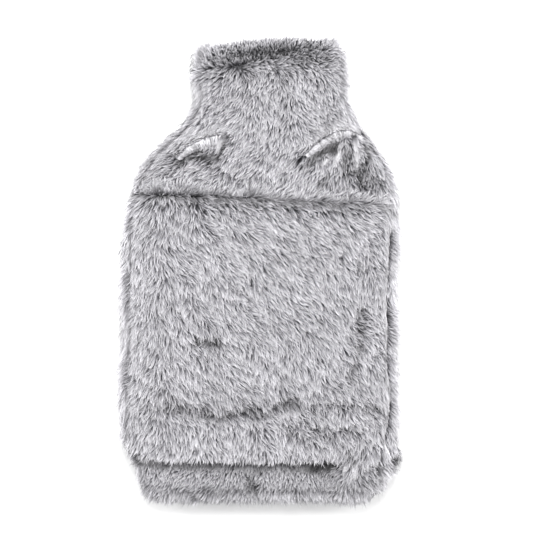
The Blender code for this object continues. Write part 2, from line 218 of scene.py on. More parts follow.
# Places where the pile is ruffled: it stands up, short and tangled. Each place also makes its
# tone darker by a share: painted shade in the hollows, creases, clefts and partings, on the left
# shoulder and under the rolls and the free edge. Where the share is negative it is lighter:
# painted light on the yoke and beside the right shoulder's pit.
RUFFLES = rows_of(
    "from_x from_y to_x to_y bow half_width strength dark",
    (-28, 165, 46, 170, 2, 7.5, 0.9, 0.44),  # the neck's mouth
    (-8, 168, 32, 172, 0, 6, 1, 0.46),
    (-84, 84, -62, 106, 0, 16, 0.1, 0.1),  # the left shoulder
    (-14, 98, 26, 82, 0, 22, 0, -0.16),
    (87, 102, 102, 66, 1, 7, 0, -0.12),  # beside the right shoulder's pit
    (-106, 60.2, 106, 50.4, 0, 2.3, 0.15, 0.5),  # the hem's stitching
    (-62, 71.5, 92, 62.5, 0, 2.2, 0.1, 0.3),  # above the ridge over it
    (-60, 56.5, 70, 50, 0, 4.2, 0.25, 0.12),  # and below it
    (-61, 89.5, -32, 91, 4.5, 3.8, 0.3, 0.9),  # under the left roll
    (-26, 104, -31, 90, 0, 2.4, 0.2, 0.8),
    (-23.5, 107, -25, 106, 0, 2, 0.2, 0.7),
    (39.5, 88, 60, 102.5, 1.5, 3.8, 0.4, 0.78),  # under the right roll
    (68.5, 104, 66, 80, 1, 2.4, 0.4, 0.65),  # between its tresses
    (79, 101, 81, 86, 1, 2.2, 0.5, 0.55),
    (54.8, 81, 48.5, 70.5, 1, 1.9, 0.2, 0.7),
    (73, 85, 83, 74, 0, 7, 1, 0.58),  # the right shoulder's pit
    (71, 80, 76, 77, 0, 2.2, 0.9, 0.6),
    (80, 84.5, 83, 80, 0, 2, 0.9, 0.6),
    (90, 77.5, 94, 71, 0, 1.6, 0.6, 0.5),
    (-80, -97, 26, -94, -10.5, 5, 0.95, 0.42),  # the long crescent
    (38, -102, 88, -103, 4, 4.2, 0.7, 0.26),
    (24, -120, 72, -118, 0, 4.1, 0.8, 0.32),
    (77, -24, 64, -84, 3, 3.4, 0.4, 0.34),  # crease beside the seam
    (74, 12, 76, 10, 0, 5, 0.8, 0.4),
    (-54, -50, -31, -53, 6, 3, 0.9, 0.85),
    (-45, -50, -41, -56, 0, 3.4, 0.8, 0.6),  # dimple
    (-92, -146, 66, -146.5, 0, 3, 0, 0.62),  # under the free lower edge
    (42, -148, 65, -148.5, 0, 4, 0, 0.75),
    (47, -153, 60, -154, 0, 5.5, 0, 0.4),
    (-7, -161, -2, -165, 0, 3.8, 0.9, 0.66),  # the flap's dimple
    (72, -135, 76, -145, 0, 2.6, 0.5, 0.65),  # clefts in the bunched corner
    (84, -144, 89, -150, 0, 2.8, 0.6, 0.7),
    (86, -168, 91, -173, 0, 2.8, 0.4, 0.7),
    (102.5, -144.5, 103, -147, 0, 3.4, 1, 0.8),  # end of the strip's seam
)

# The cloths, inside the face of their solids.
CLOTH_THICKNESS = 1.2
SETTLE_STEPS = 24  # rounds in which a cloth's slanted ends settle on the bag
CLOTH_STEP = 4  # its mesh takes one in so many places of the grid that the pile stands on
ROOM = 6.3  # from the solid's face down to the cloth
LEFT_ROOM, RIGHT_ROOM, SIDE_REACH = 8.3, 4, 50  # the same at the sides, from this x out
FLOOR_ROOM = 5  # from the table, where the cover lies on its pile
PRESSED_ROOM, PRESSED = 1.2, (-6, 2)  # the same where another layer lies on it
END_ROOM, END_SLOPE = 13.2, 0.014  # from the bag's bottom end, which is lower on the left
FLAP_END_ROOM, FLAP_RISE = 12.2, 2  # the flap's pile is shorter
HEM_ROOM, TOP_ROOM = 12.5, 3  # from the front panel's free lower edge and from its hem
MOUTH_ROOM = 3.5
SEAM_ROOM = 0.3
UNDER_HEM = 4  # how far below the front's cloth the flap starts to go under it
LEFT_DROOP, RIGHT_DROOP = 7, 8  # how far the cloth's lower corners stay above the bag's
DROOP_START, DROOP_LENGTH = -128, 40
SEAM_DIP, SEAM_REACH = 4, 5  # the cloth turns in at the right seam, below the hem
SEAM_ZONE = (60, 35)  # where that starts, and the combing along it
EDGE_DIP, EDGE_REACH, LOW_EDGE_DIP = 3, 6, 0.4  # how the cloth's edges round over
STITCH_BACK, STITCH_DEPTH, STITCH_WIDTH = 7, 3.4, 2.6

# Where the pile stands: strands in each square millimetre are in the panels' table.
FLOOR_SHARE, FLOOR_HEIGHT = 0.2, 0.8  # of its density and height on the underside
FLOOR_TOP, FLOOR_LOW = 18, -158  # but not so near the mouth, nor beyond this
UNDERSIDE = -0.6  # what faces down more than this
UNDER_YOKE, UNDER_FLAP = 1, 10.5  # how far it goes on under the front panel
BACK_TOP, BACK_MORE = 12, 1.2  # the back's is denser over this height

# How it is combed.
BACK_LEAN = 0.45  # most that the back's pile leans across
# STRIP_LIGHT is painted light on the back's strip
STRIP_LEAN, STRIP_LIGHT, STRIP_REACH = 0.35, 0.08, 20  # what its strip does besides
SEAM_COMB, COMB_SHARE = 8, 0.5  # how far from the seam the front's leans less, and by what
HEM_COMB = 14  # how far from the free lower edge it changes its length
FREE_EDGE = -149  # where it ends there
FRINGE, FRINGE_DROP = -137.5, 11  # below this half of it hangs over the edge, by up to so much
FRINGE_CURVE, FRINGE_BACK = np.array((0, 0.12, 0.5, 1)), 0.3  # along it, and drawn back up
SHORT_AT_SEAM = (50, 50)  # the pile is kept short beside it, right of and below this
SEAM_GAP, SEAM_FLOW, SEAM_LEAST = 0.5, 0.12, 0.2  # how far from it, for at least this flow
EDGE_FLOW, EDGE_LEAST, EDGE_UNEVEN = 0.4, 0.4, 0.06  # the same at the free lower edge
HEM_FLOW, SIDE_FLOW = 8, (-0.7, -0.1)  # how the back's flow changes over the hem and round
FAN_WIDTH = 6  # how gradually a fan starts
DRIFT_WAVES, DRIFT_LENGTHS, DRIFT_MOST = 6, (0.7, 1.6), 2.6  # waves in slow noise
WAVER = ((0.12, 45, 11), (0.28, 16, 12), (0.10, 7, 13))  # share, length and seed of each drift
OUTWARD, LEAN_OUT = 0.8, -0.3  # how much the pile on steep cloth leans out
DRAPE, DRAPE_FLAT, DRAPE_MOST = 0.9, 0.35, 7  # how closely it follows the cloth's relief
GROOVE, GROOVE_SPREAD = 0.7, 0.65  # the piles on both sides keep off the seam
GROOVE_TOP, GROOVE_END = (42, 30), (-150, -142)
GROOVE_X, GROOVE_UNDER = 60, -0.4  # only right of this, and not underneath
GROOVE_OPEN = 40  # what takes the rest of the pile out of reach
SEAM_WANDER, WANDER_WAVES = 0.8, (9, 15)
RUFFLE_WOBBLE = 0.3  # how much a ruffle's line wanders, as a share of its width
PATCHY_WIDTH = 4  # ruffles wider than this come and go along their line

# How long it is.
HAIR, HAIR_SPREAD = 16.5, 0.16
MOUTH_SHORT, MOUTH_LONG = 0.62, 0.95  # in the mouth's middle and at its sides
MOUTH_MORE = 0.2  # and more at its left
MOUTH_MIDDLE, MOUTH_SIDES, MOUTH_LEFT, MOUTH_REACH = 8, (32, 52), (-30, -45), 14
CORNER_SHARE, CORNER_X, CORNER_WIDTH = 0.6, -92, 12  # less at the lower left corner
CORNER_TOP, CORNER_END = (-130, -138), (-160, -152)
BACK_SHARE, NECK_MORE, NECK_LEFT, NECK_START = 0.9, 0.15, (-30, -50), (95, 115)
HEM_SHARE, HEM_FADE, YOKE_SHARE, NECK_SHARE, NECK_FRONT = 0.6, 10, 0.82, 0.74, (118, 138)
EDGE_SHARE, EDGE_BUNCHED = 0.82, 1.1
FLAP_SHARE, FLAP_BUNCHED, FLAP_HANGS, FLAP_LOW = 0.56, 0.9, 0.72, (-154, -168)
RIGHT_SHORT, RIGHT_SIDE = 0.78, (0.2, 0.8)  # its height on the right side

# Its colours, as shares of its tone, and how much lighter its roots are: the darker seam, and
# painted shade and painted light.
SEAM_DARK, SEAM_WIDTH, SEAM_BREAKS, DARK_SEAM = 0.7, 2.4, (5.5, 13), (42, 22)
SEAM_SHADE, SHADE_REACH = 0.35, 3  # the front's pile that is kept off the seam is darker
# at the bottom end: END_DARK is painted shade on its pile, END_LIGHT painted light on its roots
END_DARK, END_LIGHT, END_ZONE = 0.06, 0.24, (-154, -164)
# painted light: how much lighter the roots are painted on sleek and sheltered pile, on the steep
# sides and at the mouth
SLEEK_LIGHT, SIDE_LIGHT, MOUTH_LIGHT = 0.5, 0.7, 0.55
SIDE_STEEP, SIDE_UNDER = (0.95, 0.45), (-0.15, 0.4)  # where the sides start and end
TONE_RANGE = 2  # the strands' map carries tones from 0 to this

# Strands and the locks that they gather in.
WIDTHS = (0.36, 0.56, 0.56)
REACHES = (0, 0.10, 0.35, 0.64)  # along the flow, as shares of the hair
RISES = (0, 0.24, 0.37, 0.42)  # away from the cloth
BENDS = (0, 0.5, 0.6, -0.7)  # to the side, for each lock
PLACES = (0, 0.30, 0.65, 1)  # the same points along the hair
PULLS = (0, 0.15, 0.6, 1)  # how far each is drawn to its lock
LOCK, TUFT = 1.3, 6  # spacing of locks and of the tufts that locks gather in
LOCK_PULL, TUFT_PULL, SLEEK_PULL = 0.76, 0.03, 0.25
EDGE_FUZZ, EDGE_FUZZY, FUZZY_STEEP = 0.5, (-134, -142), (0.9, 0.4)  # less so at the edges

# How much locks, tufts and single strands differ, and what ruffling does.
LOCK_SWING, TUFT_SWING, HAIR_SWING, RUFFLED_SWING, SLEEK_CALM = 0.30, 0.18, 0.12, 2.6, 0.6
LOCK_LENGTH, HAIR_END, RUFFLED_SHORT = 0.28, 0.04, 0.42
LOCK_HEIGHT, TUFT_HEIGHT, HAIR_HEIGHT, RUFFLED_HEIGHT = 0.24, 0.12, 0.10, 0.45
LOCK_BEND, HAIR_BEND, RUFFLED_LEAN = 0.16, 0.04, 0.35
# RUFFLED_DARK: ruffled pile is painted darker, as painted shade among its tangled strands
LOCK_TONE, TUFT_TONE, HAIR_TONE, RUFFLED_TONE, RUFFLED_DARK = 0.18, 0.06, 0.10, 1.15, 0.2
DRIFT_TONE = 0.05
STRAND_ROLL = 0.45
LOWEST = 0.25  # least height over the table
PIECE_STRANDS = 38000  # most strands in one piece
STRAND_CORNERS = 7
MAP_WIDTH = 0.004  # half of a strand's width in its map

# The rolls' and tresses' own pile.
ROLL_DENSITY = 4  # strands in each square millimetre that a roll covers
ROLL_CLOTH = 0.8  # how wide and high the cloth is in a roll
ROLL_START, ROLL_TURN = 0.66, 1.8  # in half turns from its right foot, and how far round
ROLL_ROOTS, ROLL_THICK, ROLL_CROWD = 0.35, 1.3, 0.75  # how its roots crowd at its start and end
ROLL_EDGE, ROLL_RISE = 3.6, 3.2  # how far left of the crest it reaches and how high above it
ROLL_SWELL = (0.80, 0.96, 1.03, 1.02)  # how far out it is, from root to tip
# painted light on the roll's crest and painted shade at its tip, which lies in the roll's shade
ROLL_PLACES = (0.40, 0.90, 0.84, 0.40)  # its colours: its tip is in the roll's shade
# the rolls' pile is toned darker than the rest: painted shade, toning down the lamp's light on them
ROLL_TONE, ROLL_SPREAD, ROLL_LOCK = 0.81, 0.85, 1.6
ROLL_PULL, ROLL_SPACING, ROLL_SLIP = 0.7, 6, 5
ROLL_TURNS, ROLL_EDGES = 0.5, 0.8  # how much its locks differ
ROLL_LOWEST, ROLL_SPLAY = -0.2, 0.45  # how far below its foot they end, and splay out there
ROLL_FADE = 1 / 16  # how fast a roll's shelter ends, as a share of its length
SHELTER_RIGHT, SHELTER_LEFT, SHELTERED = 0.7, 3.5, 0.25  # how wide, and the length left there
TRESS_DENSITY = 3
TRESS_PLACES = (0.30, 0.62, 0.85, 1)
TRESS_ENDS, TRESS_CURL = 0.10, 0.25  # how uneven its ends and its strands are
TRESS_TAPER, TRESS_ROOT, TRESS_ROUND, TRESS_FALL = 0.7, 0.45, 0.75, 0.35  # its shape
TRESS_TONE, TRESS_SPREAD, TRESS_PULL = 0.64, 0.40, 0.5

random = np.random.default_rng(7)


def clamp(value):
    return np.clip(value, 0, 1)


def between(low, high, share):
    return low + (high - low) * share


def ease(value):
    value = clamp(value)
    return value * value * (3 - 2 * value)


def varied(share, values):
    """1, more or less by up to half of this share, for values from 0 to 1."""
    return 1 + share * (values - 0.5)


def ramp(value, start, end):
    """0 up to the start and 1 from the end on, eased in between."""
    return ease((value - start) / (end - start))


def bell(value, width):
    """1 at nought, falling off within about this width."""
    return np.exp(-((value / width) ** 2))


def wavy(place, fast, slow):
    """Two waves added up, of these lengths over 2 pi."""
    return np.sin(place / fast) + np.sin(place / slow + 1)


def dome(value):
    """A quarter of a circle, from 0 up to 1."""
    return np.sqrt(1 - (1 - clamp(value)) ** 2)


def unit(vectors):
    return vectors / np.maximum(np.linalg.norm(vectors, axis=-1, keepdims=True), 1e-9)


def section_value(along, column):
    """One column of the sections, on a smooth curve through its rows."""
    places = np.array([row.along for row in SECTIONS], float)
    values = np.array([getattr(row, column) for row in SECTIONS], float)
    slopes = np.empty_like(values)
    slopes[1:-1] = (values[2:] - values[:-2]) / (places[2:] - places[:-2])
    slopes[0] = (values[1] - values[0]) / (places[1] - places[0])
    slopes[-1] = (values[-1] - values[-2]) / (places[-1] - places[-2])
    along = np.clip(along, places[0], places[-1])
    i = np.clip(np.searchsorted(places, along, side="left") - 1, 0, len(places) - 2)
    span = places[i + 1] - places[i]
    t = (along - places[i]) / span
    rise = values[i + 1] - values[i]
    start, end = slopes[i] * span, slopes[i + 1] * span
    return (
        values[i]
        + start * t
        + (3 * rise - 2 * start - end) * t**2
        + (start + end - 2 * rise) * t**3
    )


def even_profile(samples=720, wide=108, high=31):
    """The front's rounded profile from left to right: its length so far as a share, how far
    across it is and how far up."""
    angle = np.pi * (1 - np.arange(samples + 1) / samples)
    side, up = np.cos(angle), np.maximum(np.sin(angle), 0)
    power = 2 / PROFILE_POWER
    side, up = np.copysign(np.abs(side) ** power, side), up**power
    run = np.concatenate([[0], np.cumsum(np.hypot(wide * np.diff(side), high * np.diff(up)))])
    return run / run[-1], side, up


PROFILE_SHARES, PROFILE_ACROSS, PROFILE_UP = even_profile()


def profile(share):
    """Across and up on the profile: over the front from 0 to 1, under the back from 1 to 2."""
    upper = np.where(share <= 1, share, 2 - share)
    across = np.interp(upper, PROFILE_SHARES, PROFILE_ACROSS)
    up = np.interp(upper, PROFILE_SHARES, PROFILE_UP)
    return across, np.where(share <= 1, up, -up)


def right_seam(along):
    """The share of the profile where the front's cloth meets the back's strip."""
    strip = (STRIP_LENGTH + SEAM_WAVE * wavy(along, *SEAM_WAVES)) / PROFILE_LENGTH
    return 1 - strip * (ramp(along, *STRIP_LOW) * ramp(along, *STRIP_HIGH))


def mouth(x):
    return MOUTH_TOP - MOUTH_BOW * (x - MOUTH_PEAK) ** 2


def top_hem(x):
    return TOP_HEM + TOP_HEM_SLOPE * x


def low_hem(x):
    corner = clamp((LEFT_CORNER_START - x) / LEFT_CORNER_WIDTH) ** 2
    wave = LOW_HEM_WAVE * np.cos(2 * np.pi * x / LOW_HEM_WAVE_LENGTH)
    return LOW_HEM - wave + LEFT_CORNER_RISE * corner


def arc(row):
    """Points along a row's arc, from its start to its end."""
    start = np.array([row.from_x, row.from_y])
    way = np.array([row.to_x, row.to_y]) - start
    t = np.linspace(0, 1, ARC_STEPS + 1)[:, None]
    out = 4 * t * (1 - t) * row.bow / np.hypot(*way)
    return start + t * way + out * np.array([-way[1], way[0]])


def near_arc(row, x, y):
    """Distance to an arc, and the way from its nearest point to here."""
    points = arc(row)
    best = np.full(x.shape, np.inf)
    away_x, away_y = np.zeros(x.shape), np.zeros(x.shape)
    for (x0, y0), (x1, y1) in zip(points, points[1:]):
        dx, dy = x1 - x0, y1 - y0
        t = clamp(((x - x0) * dx + (y - y0) * dy) / (dx * dx + dy * dy))
        ox, oy = x - x0 - t * dx, y - y0 - t * dy
        distance = np.hypot(ox, oy)
        nearer = distance < best
        best = np.where(nearer, distance, best)
        away_x, away_y = np.where(nearer, ox, away_x), np.where(nearer, oy, away_y)
    return best, away_x, away_y


def left_of(row, away_x, away_y):
    """1 on the left of an arc's way and 0 on its right."""
    return ease(0.5 + (row.to_x - row.from_x) * away_y - (row.to_y - row.from_y) * away_x)


def run_along(row, x, y):
    """How far along an arc's way this is: 0 at its start and 1 at its end."""
    way_x, way_y = row.to_x - row.from_x, row.to_y - row.from_y
    return ((x - row.from_x) * way_x + (y - row.from_y) * way_y) / (way_x**2 + way_y**2)


def on_crease(crease, x, y, scale):
    """How near a crease's crest this is, from 0 to 1, at this share of its widths, and the
    crease's height there."""
    distance, away_x, away_y = near_arc(crease, x, y)
    width = scale * between(crease.right, crease.left, left_of(crease, away_x, away_y))
    return bell(distance, width), between(crease.low, crease.high, clamp(run_along(crease, x, y)))


def around(roll, x, y):
    """How far this is under a roll's pile, and what the pile on its left is short of."""
    distance, away_x, away_y = near_arc(roll, x, y)
    run = run_along(roll, x, y)
    within = ramp(run, -ROLL_FADE, ROLL_FADE) * ramp(1 - run, -ROLL_FADE, ROLL_FADE)
    left = left_of(roll, away_x, away_y)
    guarded = roll.guard * left * within * clamp(1 - distance / GUARD_REACH)
    return within * bell(distance, between(SHELTER_RIGHT * roll.right, SHELTER_LEFT, left)), guarded


def lift(x, y):
    """Height of all the folds over the bag's even crown."""
    height = np.zeros(x.shape)
    for fold in FOLDS:
        height += fold.height * bell(near_arc(fold, x, y)[0], fold.half_width)
    for crease in CREASES:
        near, crest = on_crease(crease, x, y, 1)
        height += near * crest
    for roll in ROLLS:
        near, crest = on_crease(roll, x, y, ROLL_CLOTH)
        height += near * ROLL_CLOTH * crest
    for ripple in RIPPLES:
        turn = 2 * np.pi * (x + ripple.lean * y) / ripple.length + ripple.phase
        height += ripple.height * np.sin(turn)
    return height


def end_share(along):
    """The bag's share of its full height, which it loses towards its bottom end."""
    return between(END_OPEN, 1, dome((along - BOTTOM_END - END_ROOM) / (END_ROUND - END_ROOM)))


def outline(along):
    """Middle and half width of the bag, which the cloth follows from a little further up
    near the bottom end, because the pile hangs past it."""
    hangs = clamp((DROOP_START - along) / DROOP_LENGTH)
    left = section_value(along - LEFT_DROOP * hangs, "left")
    right = section_value(along - RIGHT_DROOP * hangs, "right")
    return (left + right) / 2, (right - left) / 2


def bag_x(share, along, inset):
    middle, half = outline(along)
    return middle + (half - inset) * profile(share)[0]


def front_height(share, along, x, drop):
    """Height of the front at this depth below its face."""
    calm = ramp((right_seam(along) - share) * PROFILE_LENGTH, 0, CALM_WIDTH)
    crown = section_value(along, "crown") - SEAM_HEIGHT
    up = np.maximum(profile(share)[1], 0)
    return SEAM_HEIGHT + ((crown - drop) + lift(x, along) * calm) * up * end_share(along)


def bag_points(share, along, inset, drop, low):
    """Places on the bag at this depth inside its sides, its crown and its flat underside, as
    an array of (x, y, z)."""
    up = profile(share)[1]
    x = bag_x(share, along, inset)
    front = front_height(share, along, x, drop)
    back = np.maximum(low, SEAM_HEIGHT + (BELLY - drop) * end_share(along) * up)
    return np.stack([x, along, np.where(up < 0, back, front)], axis=-1)


def tucked(inside, easing):
    """Extra depth of a cloth that goes down to lie under the front panel's."""
    return TUCKED_DEPTH * np.exp(np.minimum(0, inside) / easing)


def room_under(inside):
    """Depth of the cloth below the solid's face, which shrinks under the front panel."""
    return between(ROOM, PRESSED_ROOM, ramp(inside, *PRESSED))


def side_room(x):
    """What the cloth's sides stay inside the bag's beyond its crown's room."""
    to_right = clamp((x + SIDE_REACH) / (2 * SIDE_REACH))
    return between(LEFT_ROOM, RIGHT_ROOM, to_right) - ROOM


def edge_dip(distance):
    return EDGE_DIP * (1 - dome(distance / EDGE_REACH))


def front_depth(x, y):
    """How deep a cloth lies inside the bag's sides and below its crown, as for the next three."""
    inside = top_hem(x) - y
    depth = ROOM + STITCH_DEPTH * bell(inside - STITCH_BACK, STITCH_WIDTH)
    depth += edge_dip(inside - TOP_ROOM) + LOW_EDGE_DIP * edge_dip(y - front_end(x))
    return depth + side_room(x), depth


def yoke_depth(x, y):
    inside = top_hem(x) - y
    room = room_under(inside)
    return np.full(x.shape, ROOM) + side_room(x), tucked(inside, YOKE_EASE) + room


def flap_depth(x, y):
    inside = y - front_end(x) + UNDER_HEM
    inset = tucked(inside, FLAP_EASE)
    drop = np.maximum(between(FLAP_DROP, BUNCH_DROP, bunched(x)), inset)
    room = room_under(inside) - between(FLAP_RISE, 0, bunched(x))
    return np.maximum(inset + room, ROOM - FLAP_RISE) + side_room(x), drop + room


def back_depth(x, y):
    return ROOM + side_room(x), np.full(x.shape, ROOM)


def bunched(x):
    """1 in the flap's bunched right corner and 0 left of it."""
    return ramp(x, *BUNCHED)


def bag_end(x, room):
    """Where a cloth starts that stays this far from the bag's bottom end."""
    return BOTTOM_END + room + END_SLOPE * x


def neck_end(x):
    """Where the cloths end at the neck's mouth."""
    return mouth(x) - MOUTH_ROOM


def front_end(x):
    """Where the front's cloth ends at its free lower edge."""
    return low_hem(x) + HEM_ROOM


def seam_x(y):
    """Where the right seam's groove is seen."""
    edge = bag_x(right_seam(y), y, ROOM + side_room(SIDE_REACH))
    return edge + SEAM_WANDER * wavy(y, *WANDER_WAVES)


def at_mouth(x, y):
    """The pile's share of its length near the neck's mouth, where it is shorter."""
    to_side = ramp(np.abs(x - MOUTH_MIDDLE), *MOUTH_SIDES)
    shortest = between(MOUTH_SHORT, MOUTH_LONG, to_side) + MOUTH_MORE * ramp(x, *MOUTH_LEFT)
    return between(shortest, 1, ramp(neck_end(x) - y, 0, MOUTH_REACH))


def left_corner(x, y):
    """1 at the front panel's lower left corner, where all the pile is shorter."""
    return clamp((CORNER_X - x) / CORNER_WIDTH) * ramp(y, *CORNER_TOP) * ramp(y, *CORNER_END)


def back_length(x, y):
    """The pile's length as a share of HAIR, as for the next three."""
    at_neck = ramp(x, *NECK_LEFT) * ramp(y, *NECK_START)
    in_corner = 1 - CORNER_SHARE * left_corner(x, y)
    return (BACK_SHARE + NECK_MORE * at_neck) * at_mouth(x, y) * in_corner


def yoke_length(x, y):
    """Shorter where the front panel's hem lies on it."""
    most = between(YOKE_SHARE, NECK_SHARE, ramp(y, *NECK_FRONT))
    return between(HEM_SHARE, most, ramp(y - top_hem(x), 0, HEM_FADE)) * at_mouth(x, y)


def front_length(x, y):
    at_edge = between(EDGE_SHARE, EDGE_BUNCHED, bunched(x))
    in_corner = 1 - CORNER_SHARE * left_corner(x, y)
    return between(at_edge, 1, ramp(y - front_end(x), 0, HEM_COMB)) * in_corner


def flap_length(x, y):
    """Longer in the bunched corner, and at the lower end, where it hangs over."""
    longer = between(FLAP_SHARE, FLAP_BUNCHED, bunched(x))
    return np.maximum(longer, FLAP_HANGS * ramp(y, *FLAP_LOW))


# A piece of cloth: where its rows start and end along the bag, how deep it lies, its grid
# across and along, its flat size and area, and its pile's density (in strands for each square
# millimetre), length, least ruffling and tone.
Panel = namedtuple(
    "Panel", "node start end depth on_back across along flat area density length ruffled tone"
)


PANELS = (
    Panel(
        "back_panel", lambda x: bag_end(x, END_ROOM), neck_end, back_depth,
        on_back=True, across=120, along=160, flat=(0.225, 0.385), area=0.070,
        density=1.12, length=back_length, ruffled=0, tone=1,
    ),
    Panel(
        "neck_yoke", lambda x: top_hem(x) - YOKE_TUCK, neck_end, yoke_depth,
        on_back=False, across=120, along=100, flat=(0.208, 0.159), area=0.0225,
        density=2.07, length=yoke_length, ruffled=0.02, tone=0.965,
    ),
    Panel(
        "front_panel", front_end, lambda x: top_hem(x) - TOP_ROOM, front_depth,
        on_back=False, across=140, along=140, flat=(0.222, 0.211), area=0.0440,
        density=1.91, length=front_length, ruffled=0, tone=1.025,
    ),
    Panel(
        "bottom_flap", lambda x: bag_end(x, FLAP_END_ROOM), lambda x: low_hem(x) + FLAP_TUCK,
        flap_depth, on_back=False, across=120, along=36, flat=(0.210, 0.056), area=0.0092,
        # the flap's lower tone is painted shade: it lies in the front panel's shadow
        density=2.5, length=flap_length, ruffled=0.1, tone=0.915,
    ),
)


def seam_dip(from_seam, along):
    return SEAM_DIP * bell(from_seam, SEAM_REACH) * ramp(along, *SEAM_ZONE)


def lay_out(panel, extra=0):
    """Grid of places on a panel, at extra depth below its cloth's face, and how far each is
    from the right seam."""
    column, row = np.meshgrid(
        np.linspace(0, 1, panel.across + 1), np.linspace(0, 1, panel.along + 1)
    )
    margin = SEAM_ROOM / PROFILE_LENGTH
    zero = np.zeros(column.shape)
    along = between(panel.start(zero), panel.end(zero), row)
    for _ in range(SETTLE_STEPS):
        seam = right_seam(along)
        first, last = (seam, 2) if panel.on_back else (0, seam)
        share = between(first + margin, last - margin, column)
        x = bag_x(share, along, 0)
        along = between(panel.start(x), panel.end(x), row)
    from_seam = np.abs(share - right_seam(along)) * PROFILE_LENGTH
    inset, drop = panel.depth(x, along)
    dip = seam_dip(from_seam, along)
    depths = (inset + dip + extra, drop + dip + extra, FLOOR_ROOM + extra)
    points = bag_points(share, along, *depths)
    return points, from_seam


def cloth_height(panel, x, y):
    """Height of a front panel's cloth over these places."""
    middle, half = outline(y)
    inset, drop = panel.depth(x, y)
    across = np.clip((x - middle) / (half - inset), -1, 1)
    share = np.interp(across, PROFILE_ACROSS, PROFILE_SHARES)
    dip = seam_dip(np.abs(share - right_seam(y)) * PROFILE_LENGTH, y)
    return front_height(share, y, x, drop + dip)


def draped(points, normals, panel):
    """The pile's points, following the cloth's relief as far as the cloth faces up."""
    x, y = points[:, 1:, 0], points[:, 1:, 1]
    root = points[:, :1]
    slope = normals[:, None, :2] / np.maximum(normals[:, None, 2:], DRAPE_FLAT)
    plane = root[..., 2] - ((points[:, 1:, :2] - root[..., :2]) * slope).sum(-1)
    follow = clamp((normals[:, 2:] - DRAPE_FLAT) / DRAPE_FLAT)
    change = cloth_height(panel, x, y) - plane
    points[:, 1:, 2] += DRAPE * follow * np.clip(change, -DRAPE_MOST, DRAPE_MOST)
    return points


def grid_normals(points):
    return unit(np.cross(np.gradient(points, axis=1), np.gradient(points, axis=0)))


def new_piece(name, points, faces, material):
    """faces is a list of index arrays, one for each number of corners."""
    mesh = bpy.data.meshes.new(name)
    loops = np.concatenate([f.ravel() for f in faces]).astype(np.int32)
    totals = np.concatenate([np.full(len(f), f.shape[1], np.int32) for f in faces])
    starts = np.concatenate([[0], np.cumsum(totals)[:-1]]).astype(np.int32)
    mesh.vertices.add(len(points))
    mesh.vertices.foreach_set("co", (points * MM).astype(np.float32).ravel())
    mesh.loops.add(len(loops))
    mesh.loops.foreach_set("vertex_index", loops)
    mesh.polygons.add(len(totals))
    mesh.polygons.foreach_set("loop_start", starts)
    mesh.update(calc_edges=True)
    mesh.shade_smooth()
    mesh.materials.append(material)
    piece = bpy.data.objects.new(name, mesh)
    bpy.context.scene.collection.objects.link(piece)
    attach(piece, "root")
    return piece


def cloth_piece(panel, material):
    outer, inner = (
        lay_out(panel, extra)[0][::CLOTH_STEP, ::CLOTH_STEP] for extra in (0, CLOTH_THICKNESS)
    )
    rows, columns = outer.shape[:2]
    count = rows * columns
    index = np.arange(count).reshape(rows, columns)

    def quads(a, b, c, d):
        return np.stack([a.ravel(), b.ravel(), c.ravel(), d.ravel()], axis=1)

    top = quads(index[:-1, :-1], index[:-1, 1:], index[1:, 1:], index[1:, :-1])
    under = quads(index[:-1, :-1], index[1:, :-1], index[1:, 1:], index[:-1, 1:]) + count
    rim = np.concatenate([index[0, :], index[1:, -1], index[-1, -2::-1], index[-2:0:-1, 0]])
    after = np.roll(rim, -1)
    sides = quads(rim, rim + count, after + count, after)
    points = np.concatenate([outer.reshape(-1, 3), inner.reshape(-1, 3)])
    return new_piece(panel.node + "_cloth", points, [np.concatenate([top, under, sides])], material)


def hashed(cells, salt):
    """An even random number from 0 to 1 for each row of whole numbers."""
    mixed = np.zeros(len(cells), np.uint64)
    for column, prime in zip(cells.T, (73856093, 19349663, 83492791)):
        mixed ^= (column.astype(np.int64) + 4096).astype(np.uint64) * np.uint64(prime + salt * 7919)
    mixed ^= mixed >> np.uint64(13)
    mixed *= np.uint64(0x9E3779B97F4A7C15)
    mixed ^= mixed >> np.uint64(29)
    return (mixed >> np.uint64(11)).astype(np.float64) / 2**53


def gathered(points, spacing):
    """Number of the nearest of many scattered middles, for each point."""
    base = np.floor(points / spacing).astype(np.int64)
    best = np.full(len(points), np.inf)
    chosen = np.zeros((len(points), 3), np.int64)
    for step in np.ndindex(3, 3, 3):
        cells = base + np.array(step) - 1
        middle = np.stack([hashed(cells, salt) for salt in (1, 2, 3)], axis=1)
        distance = np.linalg.norm(points - (cells + middle) * spacing, axis=1)
        nearer = distance < best
        best = np.where(nearer, distance, best)
        chosen[nearer] = cells[nearer]
    return np.unique(chosen, axis=0, return_inverse=True)[1].ravel()


def averaged(values, group):
    """Each value replaced by its group's mean."""
    count = np.bincount(group)
    means = np.stack([np.bincount(group, column) for column in values.T], axis=1)
    return (means / count[:, None])[group]


def pulled(points, group, pull):
    """Strands drawn together towards the middle of their group."""
    for k, share in enumerate(PULLS):
        points[:, k] += pull * share * (averaged(points[:, k], group) - points[:, k])
    return points


def drawn(seed, group, columns):
    """Random numbers from 0 to 1, the same for all of a group."""
    return np.random.default_rng(seed).random((group.max() + 1, columns))[group]


def drift(points, length, seed):
    """Slow noise of about this length, from about -1 to 1."""
    rng = np.random.default_rng(seed)
    total = np.zeros(len(points))
    for _ in range(DRIFT_WAVES):
        way = unit(rng.normal(size=3)) * 2 * np.pi / (length * rng.uniform(*DRIFT_LENGTHS))
        total += np.sin(points @ way + rng.uniform(0, 2 * np.pi))
    return total / DRIFT_MOST


def wavering(points, number):
    share, length, seed = WAVER[number]
    return share * drift(points, length, seed)


